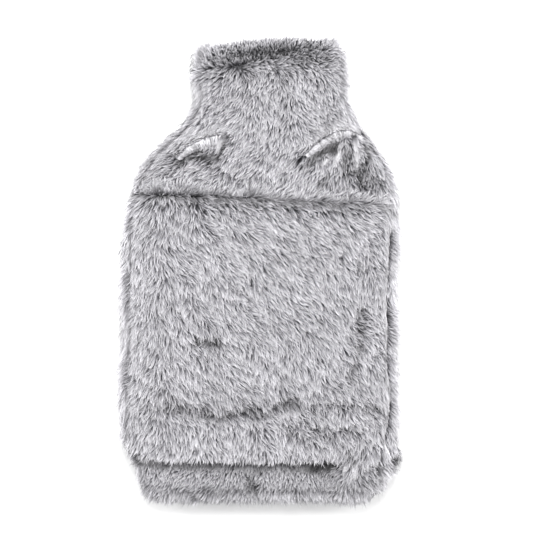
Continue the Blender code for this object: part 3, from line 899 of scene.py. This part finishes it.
def parted(parting, x, y, push_x, push_y):
    """The flow after this parting, which turns it up on the line's far side, and how far this
    is on that side."""
    _, _, away_y = near_arc(parting, x, y)
    along = np.sqrt(clamp((x - parting.from_x) / (parting.to_x - parting.from_x)))
    above = ease(0.5 + away_y / 2)
    push_x = between(push_x, between(parting.lean_from, parting.lean_to, along), above)
    return push_x, between(push_y, 1, above), above


def guided(guides, x, y):
    """The flow that these guides give."""
    total, across, along = np.zeros((3, len(x)))
    for guide_x, guide_y, angle in guides:
        apart = ((x - guide_x) ** 2 + (y - guide_y) ** 2) / GUIDE_REACH**2
        weight = 1 / (GUIDE_NEAR + apart) ** 2
        total += weight
        across += weight * math.sin(math.radians(angle))
        along -= weight * math.cos(math.radians(angle))
    return across / total, along / total


def flowing(panel, x, y, up):
    """The flow before anything bends it: the guides', and straight down on the underside."""
    if not panel.on_back:
        return guided(GUIDES[panel.node], x, y)
    over_hem = ramp(y - top_hem(x), 0, HEM_FLOW)
    low = guided(GUIDES["front_panel"], x, y)
    high = guided(GUIDES["neck_yoke"], x, y)
    across, along = between(np.array(low), np.array(high), over_hem)
    on_side = ramp(up, *SIDE_FLOW)
    across = np.clip(across, -BACK_LEAN, BACK_LEAN)
    return between(0, across, on_side), between(-1, along, on_side)


def fanned(x, y):
    """What the fans add to the flow."""
    push_x, push_y = np.zeros((2, len(x)))
    for fan in FANS:
        out_x, out_y = x - fan.x, y - fan.y
        apart = np.hypot(out_x, out_y)
        near = fan.strength * bell(apart, fan.radius) / (apart + 1)
        if fan.strength > 0:
            near = near * ramp(out_y, 0.5 * FAN_WIDTH, -0.5 * FAN_WIDTH)
        push_x += near * out_x
        push_y += near * out_y
    return push_x, push_y


def beside_rolls(x, y):
    """The share of its length that the pile keeps around the rolls, and how sheltered it is."""
    length, sheltered = np.ones(len(x)), np.zeros(len(x))
    for roll in ROLLS:
        under, guarded = around(roll, x, y)
        length = length * between(1, SHELTERED, under) * (1 - guarded)
        sheltered = np.maximum(sheltered, np.maximum(under, guarded))
    return length, sheltered


def ruffling(points):
    """How ruffled the pile on the front is, and the share of its tone that the ruffles' painted
    shade and painted light leave.
    """
    ruffled, shade = np.zeros(len(points)), np.ones(len(points))
    wobble = RUFFLE_WOBBLE * drift(points, 11, 16)
    patchy = clamp(0.8 + 0.4 * drift(points, 9, 17))
    for ruffle in RUFFLES:
        distance = near_arc(ruffle, points[:, 0], points[:, 1])[0]
        near = bell(distance + ruffle.half_width * wobble, ruffle.half_width)
        if ruffle.half_width > PATCHY_WIDTH:
            near = near * patchy
        ruffled = np.maximum(ruffled, ruffle.strength * near)
        # painted shade; a negative share gives painted light
        shade *= 1 - ruffle.dark * near
    return ruffled, shade


def turned(push_x, push_y, turn):
    """The flow turned by this angle, as vectors."""
    across = push_x * np.cos(turn) - push_y * np.sin(turn)
    along = push_x * np.sin(turn) + push_y * np.cos(turn)
    return np.stack([across, along, np.zeros(len(turn))], axis=1)


def kept_short(panel, points, from_seam, flow):
    """The longest that the pile may be, so that it ends at the seam and at the free edge."""
    x, y = points[:, 0], points[:, 1]
    longest = np.full(len(x), 2 * HAIR)
    if not panel.on_back:
        kept = (from_seam - SEAM_GAP) / (REACHES[3] * np.maximum(flow[:, 0], SEAM_FLOW))
        beside = (x > SHORT_AT_SEAM[0]) & (y < SHORT_AT_SEAM[1])
        longest = np.where(beside, np.maximum(kept, SEAM_LEAST * HAIR), longest)
    if panel.node == "front_panel":
        kept = (y - FREE_EDGE) / (REACHES[3] * np.maximum(-flow[:, 1], EDGE_FLOW))
        kept = between(kept, 2 * HAIR, bunched(x)) * (1 + EDGE_UNEVEN * drift(points, 5, 15))
        longest = np.minimum(longest, np.maximum(kept, EDGE_LEAST * HAIR))
    return longest


# How the pile lies at its roots: the way along the cloth, its share of length and its longest,
# how ruffled and how sleek it is, its shade (painted shade and painted light, and the darker
# seam), how much lighter its roots are painted (painted light) and how near they are to the
# right seam, where they stay dark.
Combed = namedtuple("Combed", "flow length longest ruffled sleek shade light seam")


def combed(points, normals, from_seam, panel):
    """How the pile lies at these roots, with its length as a share of HAIR."""
    x, y, up = points[:, 0], points[:, 1], normals[:, 2]
    upward, face_up = clamp(up), up > 0
    fan_x, fan_y = fanned(x, y)
    push_x, push_y = flowing(panel, x, y, up)
    push_x = push_x + wavering(points, 0) + upward * fan_x
    push_y = push_y + upward * fan_y
    length, sleek, sheltered = panel.length(x, y), np.zeros(len(x)), np.zeros(len(x))
    if not panel.on_back:
        kept, sheltered = beside_rolls(x, y)
        length = length * np.where(face_up, kept, 1)
        sheltered = sheltered * face_up
    for parting in PARTINGS:
        if parting.node == panel.node:
            push_x, push_y, above = parted(parting, x, y, push_x, push_y)
            length = length * between(1, parting.length, above)
            sleek = np.maximum(sleek, parting.sleek * above)
    ruffled, shade = ruffling(points)
    ruffled = np.maximum(panel.ruffled, ruffled * face_up)
    shade = np.where(face_up, shade, 1)
    seam = bell(from_seam, SEAM_WIDTH) * ramp(y, *DARK_SEAM)
    if panel.on_back:
        on_strip = bell(from_seam, STRIP_REACH) * face_up * (x > 0)
        push_x += STRIP_LEAN * on_strip
        # painted light on the strip
        shade *= 1 + STRIP_LIGHT * on_strip
    else:
        push_x *= 1 - COMB_SHARE * bell(from_seam, SEAM_COMB) * ramp(y, *SEAM_ZONE) * face_up
        broken = 1 + 0.5 * np.sin(y / SEAM_BREAKS[0]) * np.sin(y / SEAM_BREAKS[1] + 1)
        shade *= 1 - SEAM_DARK * broken * seam
    push = turned(push_x, push_y, wavering(points, 1) + wavering(points, 2))
    facing = unit(normals + np.array([0, 0, OUTWARD]) * (normals[:, 2:] > LEAN_OUT))
    flow = unit(push - facing * (push * facing).sum(1, keepdims=True))
    longest = kept_short(panel, points, from_seam, flow)
    # painted light: the roots are painted lighter on sleek and sheltered pile, at the mouth, on the
    # steep sides and at the bottom end
    light = SLEEK_LIGHT * np.maximum(sleek, sheltered)
    light = np.maximum(light, MOUTH_LIGHT * (1 - at_mouth(x, y)))
    at_end = ramp(y, *END_ZONE)
    at_side = ramp(upward, *SIDE_STEEP) * ramp(up, *SIDE_UNDER) * (1 - at_end)
    light = clamp(light + SIDE_LIGHT * at_side + END_LIGHT * at_end)
    # painted shade on the pile at the bottom end
    shade *= 1 - END_DARK * at_end
    return Combed(flow, length, longest, ruffled, sleek, shade, light, seam)


def on_floor(places, normals):
    """Where the cover lies on its pile."""
    return (normals[..., 2] < UNDERSIDE) & (places[..., 2] < FLOOR_ROOM + 1)


def strands_wanted(panel, middle, normals):
    """How many strands each square millimetre has at these places."""
    x, y = middle[..., 0], middle[..., 1]
    sparse = on_floor(middle, normals) & (y < mouth(x) - FLOOR_TOP) & (y > FLOOR_LOW)
    wanted = panel.density * np.where(sparse, FLOOR_SHARE, 1)
    if panel.node == "neck_yoke":
        wanted = wanted * (top_hem(x) - y < UNDER_YOKE)
    if panel.node == "bottom_flap":
        wanted = wanted * (y - low_hem(x) < UNDER_FLAP)
    if panel.node == "back_panel":
        wanted = wanted * np.where(middle[..., 2] > BACK_TOP, BACK_MORE, 1)
    return wanted


def scatter(panel):
    """Random roots, evenly over the panel's cloth: their places, normals and distances from
    the right seam."""
    points, from_seam = lay_out(panel)
    normals = grid_normals(points)
    a, b = points[:-1, :-1], points[:-1, 1:]
    c, d = points[1:, 1:], points[1:, :-1]
    area = np.linalg.norm(np.cross(c - a, d - b), axis=-1) / 2
    flat = (area * strands_wanted(panel, (a + c) / 2, normals[:-1, :-1])).ravel()
    count = int(flat.sum())
    chosen = (np.arange(count) + random.random(count)) * flat.sum() / count
    cell = np.minimum(np.searchsorted(np.cumsum(flat), chosen), flat.size - 1)
    i, j = np.divmod(cell, area.shape[1])
    u, v = random.random((2, count, 1))

    def blended(grid):
        low = grid[i, j] * (1 - u) + grid[i, j + 1] * u
        high = grid[i + 1, j] * (1 - u) + grid[i + 1, j + 1] * u
        return low * (1 - v) + high * v

    return blended(points), unit(blended(normals)), blended(from_seam[..., None])[:, 0]


def swung(comb, normals, lock_random, tuft_random):
    """Each strand's flow, swung aside by its lock, its tuft and its own."""
    swing = (LOCK_SWING + RUFFLED_SWING * comb.ruffled) * (lock_random[:, 0] - 0.5)
    swing = swing + TUFT_SWING * (tuft_random[:, 0] - 0.5)
    swing = swing + HAIR_SWING * random.normal(size=len(swing))
    swing = (swing * (1 - SLEEK_CALM * comb.sleek))[:, None]
    return unit(comb.flow * np.cos(swing) + np.cross(normals, comb.flow) * np.sin(swing))


def sized(comb, roots, normals, lock_random, tuft_random):
    """Each strand's length, and its height as a share of the usual one."""
    count, ruffled = len(roots), comb.ruffled
    length = HAIR * comb.length * (1 + HAIR_SPREAD * random.normal(size=count))
    length *= varied(LOCK_LENGTH, lock_random[:, 1]) * (1 - RUFFLED_SHORT * np.minimum(ruffled, 1))
    length = np.minimum(length, comb.longest * (1 + HAIR_END * random.normal(size=count)))
    height = varied(LOCK_HEIGHT, lock_random[:, 2]) * varied(TUFT_HEIGHT, tuft_random[:, 1])
    height = height * (1 + HAIR_HEIGHT * random.normal(size=count)) * (1 + RUFFLED_HEIGHT * ruffled)
    height = np.where(on_floor(roots, normals), FLOOR_HEIGHT * height, height)
    return length, height * between(1, RIGHT_SHORT, ramp(normals[:, 0], *RIGHT_SIDE))


def strand_points(comb, roots, normals, flow, length, height, lock_random):
    side = np.cross(normals, flow)
    lean = 1 - RUFFLED_LEAN * comb.ruffled
    wave = HAIR_BEND * random.normal(size=len(roots)) + LOCK_BEND * (lock_random[:, 4] - 0.5)
    points = np.empty((len(roots), 4, 3))
    for k, (reach, rise, bend) in enumerate(zip(REACHES, RISES, BENDS)):
        points[:, k] = roots + length[:, None] * (
            (reach * lean)[:, None] * flow
            + (rise * height)[:, None] * normals
            + (bend * wave)[:, None] * side
        )
    return points


def hung(points, roots):
    """The pile at the free edge, half of it hanging over."""
    hangs = ramp(roots[:, 1], FRINGE, FRINGE - 2) * (1 - bunched(roots[:, 0]))
    hangs = FRINGE_DROP * hangs * clamp(2 * random.random(len(roots)) - 1)
    points[:, :, 1] += FRINGE_BACK * hangs[:, None] * FRINGE_CURVE
    points[:, :, 2] -= hangs[:, None] * FRINGE_CURVE
    return points


def toned(comb, roots, moved, lock_random, tuft_random):
    """Each strand's tone, with its painted shade and painted light."""
    tone = 1 + (LOCK_TONE + RUFFLED_TONE * comb.ruffled) * (lock_random[:, 3] - 0.5)
    tone = tone + TUFT_TONE * (tuft_random[:, 2] - 0.5)
    tone = tone + HAIR_TONE * random.normal(size=len(tone))
    tone = (tone + DRIFT_TONE * drift(roots, 26, 14)) * comb.shade
    # painted shade on ruffled pile
    tone *= 1 - RUFFLED_DARK * clamp(comb.ruffled)
    return tone * (1 - SEAM_SHADE * clamp(moved / SHADE_REACH))


def grow(panel):
    """Points (strands, 4, 3), the normals at their roots, their tones and how far along the
    pile's colours each point is."""
    roots, normals, from_seam = scatter(panel)
    comb = combed(roots, normals, from_seam, panel)
    locks, tufts = gathered(roots, LOCK), gathered(roots, TUFT)
    drawn_for = drawn(21, locks, 5), drawn(22, tufts, 4)
    flow = swung(comb, normals, *drawn_for)
    length, height = sized(comb, roots, normals, *drawn_for)
    points = strand_points(comb, roots, normals, flow, length, height, drawn_for[0])
    if not panel.on_back:
        points = draped(points, normals, panel)
    fuzz = EDGE_FUZZ * fuzzy(panel, roots, normals)[:, None]
    points = pulled(points, locks, LOCK_PULL * (1 - fuzz))
    points = pulled(points, tufts, TUFT_PULL + SLEEK_PULL * comb.sleek[:, None])
    points, moved = off_seam(points, roots, normals, panel)
    if panel.node == "front_panel":
        points = hung(points, roots)
    points[:, :, 2] = np.maximum(points[:, :, 2], LOWEST)
    tone = panel.tone * toned(comb, roots, moved, *drawn_for)
    places = between(np.array(PLACES), 1, comb.light[:, None])
    places[:, 0] *= 1 - comb.seam
    return points, normals, tone, places


def fuzzy(panel, roots, normals):
    """How little the pile is drawn together: at the sides, the mouth and the free edge."""
    x, y = roots[:, 0], roots[:, 1]
    at_side = ramp(np.abs(normals[:, 2]), *FUZZY_STEEP)
    fuzz = np.maximum(at_side, 2 * (1 - at_mouth(x, y)))
    if panel.node == "front_panel":
        fuzz = np.maximum(fuzz, ramp(y, *EDGE_FUZZY) * (1 - bunched(x)))
    return fuzz


def off_seam(points, roots, normals, panel):
    """The pile's points, kept off the right seam's groove on both of its sides, and how far
    the front's tips were moved for it."""
    near = (roots[:, 0] > GROOVE_X) & (roots[:, 1] < GROOVE_TOP[0]) & (normals[:, 2] > GROOVE_UNDER)
    x, y = points[near, 1:, 0], points[near, 1:, 1]
    closed = 1 - ramp(y, *GROOVE_TOP) * ramp(y, *GROOVE_END)
    off = GROOVE + GROOVE_SPREAD * random.normal(size=(len(x), 1)) - GROOVE_OPEN * closed
    moved = np.zeros(len(points))
    if panel.on_back:
        points[near, 1:, 0] = np.maximum(x, seam_x(y) + off)
    else:
        points[near, 1:, 0] = np.minimum(x, seam_x(y) - off)
        moved[near] = x[:, -1] - points[near, -1, 0]
    return points, moved


def along_arc(row):
    """Points along an arc, the way to its right at each, and what finds either at a share of
    its length."""
    line = arc(row)
    way = unit(np.gradient(line, axis=0))
    to_right = np.stack([way[:, 1], -way[:, 0]], axis=1)

    def at(values, share):
        steps = np.linspace(0, 1, len(line))
        return np.stack([np.interp(share, steps, column) for column in values.T], axis=-1)

    return line, to_right, at


def rolled(roll, panel):
    """The pile on a roll."""
    line, to_right, at = along_arc(roll)
    crest = between(roll.low, roll.high, np.linspace(0, 1, len(line)))
    height = cloth_height(panel, line[:, 0], line[:, 1]) - ROLL_CLOTH * crest
    length = np.hypot(*(line[-1] - line[0]))
    count = int(ROLL_DENSITY * length * (roll.left + roll.right))
    t = random.random(count) ** ROLL_CROWD
    start = np.pi * (ROLL_START - ROLL_ROOTS * random.random(count) ** ROLL_THICK)
    locks = gathered(np.stack([t * length, ROLL_SPACING * start, 0 * t], axis=1), ROLL_LOCK)
    lock_random = drawn(23, locks, 3)
    turn = varied(ROLL_TURNS, lock_random[:, 0]) + 0.1 * random.normal(size=count)
    turn = ROLL_TURN * turn
    slip = between(roll.slip_from, roll.slip_to, t) + ROLL_SLIP * (lock_random[:, 1] - 0.5)
    slip = (slip + random.normal(size=count)) / length
    points = np.empty((count, 4, 3))
    for k, (place, swell) in enumerate(zip(PLACES, ROLL_SWELL)):
        along = clamp(t + slip * place)
        angle = np.maximum(start - turn * place, ROLL_LOWEST)
        high = between(roll.low, roll.high, along)
        edge = ROLL_EDGE * varied(ROLL_EDGES, lock_random[:, 1])
        width = np.where(angle > np.pi / 2, edge, roll.right)
        swell = swell * (1 + 0.05 * random.normal(size=count))
        out = np.where(angle > 0, np.cos(angle), 1 - ROLL_SPLAY * angle)
        out = out * width * swell * high / max(roll.low, roll.high)
        points[:, k, :2] = at(line, along) + at(to_right, along) * out[:, None]
        points[:, k, 2] = at(height[:, None], along)[:, 0]
        points[:, k, 2] += ROLL_RISE + high * np.maximum(np.sin(angle), 0) * swell
    facing = start - turn / 2
    outward = np.empty((count, 3))
    outward[:, :2] = at(to_right, t) * np.cos(facing)[:, None]
    outward[:, 2] = np.abs(np.sin(facing)) + 0.2
    points = pulled(points, locks, ROLL_PULL * LOCK_PULL)
    tone = ROLL_TONE + ROLL_SPREAD * (lock_random[:, 2] - 0.5)
    tone = tone + 0.12 * random.normal(size=count)
    return points, unit(outward), tone, np.broadcast_to(ROLL_PLACES, (count, 4))


def laid(tress, panel):
    """The pile of a tress, rooted along its first half."""
    line, to_right, at = along_arc(tress)
    length = np.hypot(*(line[-1] - line[0]))
    count = int(TRESS_DENSITY * length * 2 * tress.half_width)
    start = 0.5 * random.random(count)
    end = clamp(start + 0.5 + TRESS_ENDS * random.normal(size=count))
    aside = random.uniform(-1, 1, count)
    curl = TRESS_CURL * random.normal(size=count)
    points = np.empty((count, 4, 3))
    for k, place in enumerate(PLACES):
        along = between(start, end, place)
        out = tress.half_width * (aside * (1 - TRESS_TAPER * along**2) + curl * place * (1 - place))
        points[:, k, :2] = at(line, along) + at(to_right, along) * out[:, None]
        swell = between(TRESS_ROOT, 1, np.sqrt(place)) * np.sqrt(1 - TRESS_ROUND * aside**2)
        swell = swell * (1 - TRESS_FALL * along**3)
        points[:, k, 2] = tress.rise * swell
    points[..., 2] += cloth_height(panel, points[..., 0], points[..., 1])
    outward = np.ones((count, 3))
    outward[:, :2] = at(to_right, start) * aside[:, None]
    locks = gathered(points[:, 0], LOCK)
    points = pulled(points, locks, TRESS_PULL)
    tone = TRESS_TONE + TRESS_SPREAD * drawn(24, locks, 1)[:, 0]
    tone = tone + 0.14 * random.normal(size=count)
    return points, unit(outward), tone, np.broadcast_to(TRESS_PLACES, (count, 4))


def pile_pieces(panel, material):
    """The pile of a panel, as pieces that lie side by side from its left."""
    grown = [grow(panel)]
    if panel.node == "neck_yoke":
        grown += [rolled(roll, panel) for roll in ROLLS]
    grown += [laid(tress, panel) for tress in TRESSES.get(panel.node, ())]
    strands = [np.concatenate(parts) for parts in zip(*grown)]
    pieces = math.ceil(len(strands[0]) / PIECE_STRANDS)
    order = np.argsort(strands[0][:, 0, 0])
    return [
        strand_piece(f"{panel.node}_pile_{number}", *(part[chosen] for part in strands), material)
        for number, chosen in enumerate(np.array_split(order, pieces), 1)
    ]


def strand_piece(name, points, normals, tone, places, material):
    """Flat strands that taper to a point: two quads and a triangle each."""
    count = len(points)
    way = unit(points[:, 3] - points[:, 0])
    across = unit(np.cross(way, normals))
    roll = STRAND_ROLL * random.normal(size=(count, 1))
    across = unit(across * np.cos(roll) + np.cross(way, across) * np.sin(roll))
    corners = np.empty((count, STRAND_CORNERS, 3))
    for k, width in enumerate(WIDTHS):
        corners[:, 2 * k] = points[:, k] - across * width / 2
        corners[:, 2 * k + 1] = points[:, k] + across * width / 2
    corners[:, 6] = points[:, 3]
    first = (np.arange(count) * STRAND_CORNERS)[:, None]
    quads = np.concatenate([first + [0, 1, 3, 2], first + [2, 3, 5, 4]])
    tips = first + [4, 5, 6]
    piece = new_piece(name, corners.reshape(-1, 3), [quads, tips], material)
    u = np.repeat(clamp(tone / TONE_RANGE)[:, None], STRAND_CORNERS, axis=1)
    u[:, [0, 2, 4]] -= MAP_WIDTH
    u[:, [1, 3, 5]] += MAP_WIDTH
    v = places[:, [0, 0, 1, 1, 2, 2, 3]]
    coordinates = np.stack([u, v], axis=-1).reshape(-1, 2)
    mesh = piece.data
    layer = mesh.uv_layers.new(name=FUR_MAP)
    corner_of_loop = np.empty(len(mesh.loops), np.int32)
    mesh.loops.foreach_get("vertex_index", corner_of_loop)
    layer.uv.foreach_set("vector", clamp(coordinates[corner_of_loop]).astype(np.float32).ravel())
    return piece


# Materials.
# From root to tip, dark to pale: partly the pile's own colour, partly painted shade deep in the
# pile.
FUR_COLOURS = (
    (0, (0.020, 0.020, 0.023)),
    (0.35, (0.060, 0.059, 0.067)),
    (0.62, (0.275, 0.270, 0.290)),
    (0.85, (0.58, 0.572, 0.598)),
    (1, (0.72, 0.712, 0.735)),
)
CLOTH_COLOURS = (
    (0, (0.05, 0.05, 0.055)),
    (1, (0.16, 0.158, 0.168)),
)


def new_material(name, **values):
    """A material with these values on its shader's sockets, and its node tree."""
    material = bpy.data.materials.new(name)
    material.use_nodes = True
    sockets = material.node_tree.nodes["Principled BSDF"].inputs
    for socket, value in values.items():
        sockets[socket.replace("_", " ")].default_value = value
    return material, material.node_tree.nodes, material.node_tree.links, sockets


def colour_ramp(nodes, stops):
    node = nodes.new("ShaderNodeValToRGB")
    elements = node.color_ramp.elements
    while len(elements) < len(stops):
        elements.new(0.5)
    for element, (position, colour) in zip(elements, stops):
        element.position = position
        element.color = (*colour, 1)
    return node


def fur_material():
    """The map's V runs through the pile's colours from root to tip, and its U scales them."""
    material, nodes, links, sockets = new_material(
        "pile", Roughness=0.55, Specular_IOR_Level=0.35, Sheen_Weight=0.25, Sheen_Roughness=0.4
    )
    place = nodes.new("ShaderNodeUVMap")
    place.uv_map = FUR_MAP
    split = nodes.new("ShaderNodeSeparateXYZ")
    links.new(place.outputs["UV"], split.inputs["Vector"])
    colours = colour_ramp(nodes, FUR_COLOURS)
    links.new(split.outputs["Y"], colours.inputs["Fac"])
    scale = nodes.new("ShaderNodeMath")
    scale.operation = "MULTIPLY"
    scale.inputs[1].default_value = TONE_RANGE
    links.new(split.outputs["X"], scale.inputs[0])
    tint = nodes.new("ShaderNodeVectorMath")
    tint.operation = "SCALE"
    links.new(colours.outputs["Color"], tint.inputs[0])
    links.new(scale.outputs["Value"], tint.inputs["Scale"])
    links.new(tint.outputs["Vector"], sockets["Base Color"])
    return material


def cloth_material():
    """Bare knitted cloth with fine ribs."""
    material, nodes, links, sockets = new_material("knitted_ground", Roughness=0.9)
    place = nodes.new("ShaderNodeTexCoord")
    wales = nodes.new("ShaderNodeTexWave")
    wales.inputs["Scale"].default_value = 260
    wales.inputs["Distortion"].default_value = 1.5
    links.new(place.outputs["Object"], wales.inputs["Vector"])
    colours = colour_ramp(nodes, CLOTH_COLOURS)
    links.new(wales.outputs["Fac"], colours.inputs["Fac"])
    links.new(colours.outputs["Color"], sockets["Base Color"])
    bump = nodes.new("ShaderNodeBump")
    bump.inputs["Strength"].default_value = 0.5
    bump.inputs["Distance"].default_value = 0.0004
    links.new(wales.outputs["Fac"], bump.inputs["Height"])
    links.new(bump.outputs["Normal"], sockets["Normal"])
    return material


# The stage, in metres.
VIEW_WIDTH = 0.4261  # what the photograph's frame is wide at the cover
VIEW_MIDDLE = (0.0083, 0.0020)
CAMERA_HEIGHT = 2
COVER_MIDDLE = 0.025  # height that the view's width is true at
SENSOR_MM = 36
FLOOR_SIZE, FLOOR_TONE = 6, 0.86
SKY_LIGHT = 0.95
LAMPS = rows_of(
    "name place size power",
    ("key", (-0.1, 1.5, 2.6), 1.5, 64),
    ("left", (-1.3, 0.2, 0.75), 0.9, 13),
    ("right", (1.3, 0.2, 0.75), 0.9, 13),
)


def add_camera():
    data = bpy.data.cameras.new("camera")
    data.sensor_width = SENSOR_MM
    data.lens = SENSOR_MM * (CAMERA_HEIGHT - COVER_MIDDLE) / VIEW_WIDTH
    camera = bpy.data.objects.new("camera", data)
    camera.location = (*VIEW_MIDDLE, CAMERA_HEIGHT)
    bpy.context.scene.collection.objects.link(camera)
    bpy.context.scene.camera = camera


def add_lamp(lamp):
    """A round lamp that points at the cover."""
    data = bpy.data.lights.new(lamp.name, "AREA")
    data.shape = "DISK"
    data.size = lamp.size
    data.energy = lamp.power
    piece = bpy.data.objects.new(lamp.name, data)
    piece.location = lamp.place
    piece.rotation_euler = (-Vector(lamp.place)).to_track_quat("-Z", "Y").to_euler()
    bpy.context.scene.collection.objects.link(piece)


def add_stage():
    bpy.ops.mesh.primitive_plane_add(size=FLOOR_SIZE)
    floor = bpy.context.object
    floor.name = "floor"
    tone = (FLOOR_TONE, FLOOR_TONE, FLOOR_TONE, 1)
    paper = new_material("floor_paper", Base_Color=tone, Roughness=0.9, Specular_IOR_Level=0.1)
    floor.data.materials.append(paper[0])
    world = bpy.data.worlds.new("studio")
    world.use_nodes = True
    sky = world.node_tree.nodes["Background"].inputs
    sky["Color"].default_value = (1, 1, 1, 1)
    sky["Strength"].default_value = SKY_LIGHT
    bpy.context.scene.world = world
    for lamp in LAMPS:
        add_lamp(lamp)
    bpy.context.scene.view_settings.view_transform = "Standard"


def dress(panel, fur, ground):
    cloth = cloth_piece(panel, ground)
    pile = pile_pieces(panel, fur)
    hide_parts(panel.node)


add_camera()
add_stage()
fur, ground = fur_material(), cloth_material()
for panel in PANELS:
    dress(panel, fur, ground)
